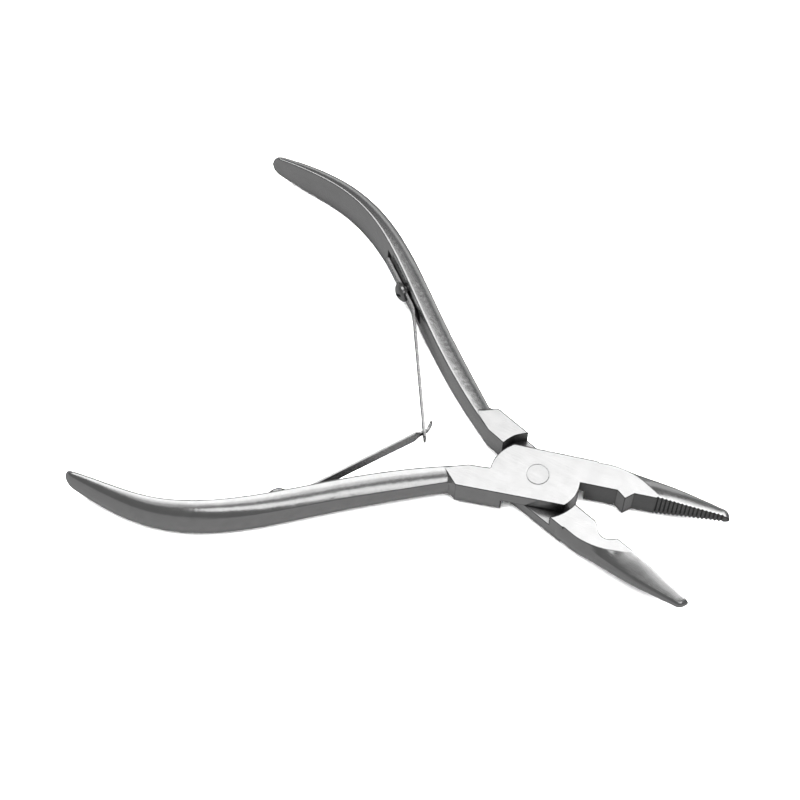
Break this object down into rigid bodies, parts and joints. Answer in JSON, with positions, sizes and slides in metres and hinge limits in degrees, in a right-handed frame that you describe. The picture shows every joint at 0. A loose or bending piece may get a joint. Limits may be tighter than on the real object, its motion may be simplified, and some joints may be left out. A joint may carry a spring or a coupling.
{
  "type": "lap joint pliers",
  "caption": "Small all-steel lap joint pliers with long tapered half-round jaws, a nib and a scallop, bowed handles and hooked leaf springs.",
  "frame": {"origin": "pivot axis at the underside of the lap joint", "axes": "+X along the bisector of the open jaws towards their tips, +Z along the pivot towards the front plate, the front half's handle on the -Y side"},
  "size_m": [0.14, 0.1034, 0.0116],
  "materials": {
    "forging": "satin ground stainless steel, plates ground flat",
    "rivet": "ground flush with the plates",
    "spring": "rolled spring strip",
    "screw": "turned and polished"
  },
  "bodies": {
    "front_half_body": {"front_half": "forging", "pivot_rivet": "rivet", "front_spring_seat": "spring", "front_spring_screw": "screw"},
    "rear_half_body": {"rear_half": "forging", "rear_spring_seat": "spring", "rear_spring_screw": "screw"},
    "front_blade_body": {"front_spring_blade": "spring"},
    "rear_blade_body": {"rear_spring_blade": "spring"}
  },
  "joints": [
    {"name": "pivot", "type": "hinge", "parent": "front_half_body", "child": "rear_half_body", "pos_m": [0, 0, 0.00372], "axis": [0, 0, 1], "range_deg": [0, 30.2], "stiffness_Nm_per_rad": 0.9, "springref_deg": -8.59},
    {"name": "front_spring_bend", "type": "hinge", "parent": "front_half_body", "child": "front_blade_body", "pos_m": [-0.0451, -0.02594, 0.00372], "axis": [0, 0, 1], "range_deg": [-17.2, 0]},
    {"name": "rear_spring_bend", "type": "hinge", "parent": "rear_half_body", "child": "rear_blade_body", "pos_m": [-0.0451, 0.02594, 0.00372], "axis": [0, 0, 1], "range_deg": [0, 17.2]}
  ],
  "couplings": [
    {"joint": "front_spring_bend", "follows": "pivot", "ratio": -0.56},
    {"joint": "rear_spring_bend", "follows": "pivot", "ratio": 0.56}
  ]
}
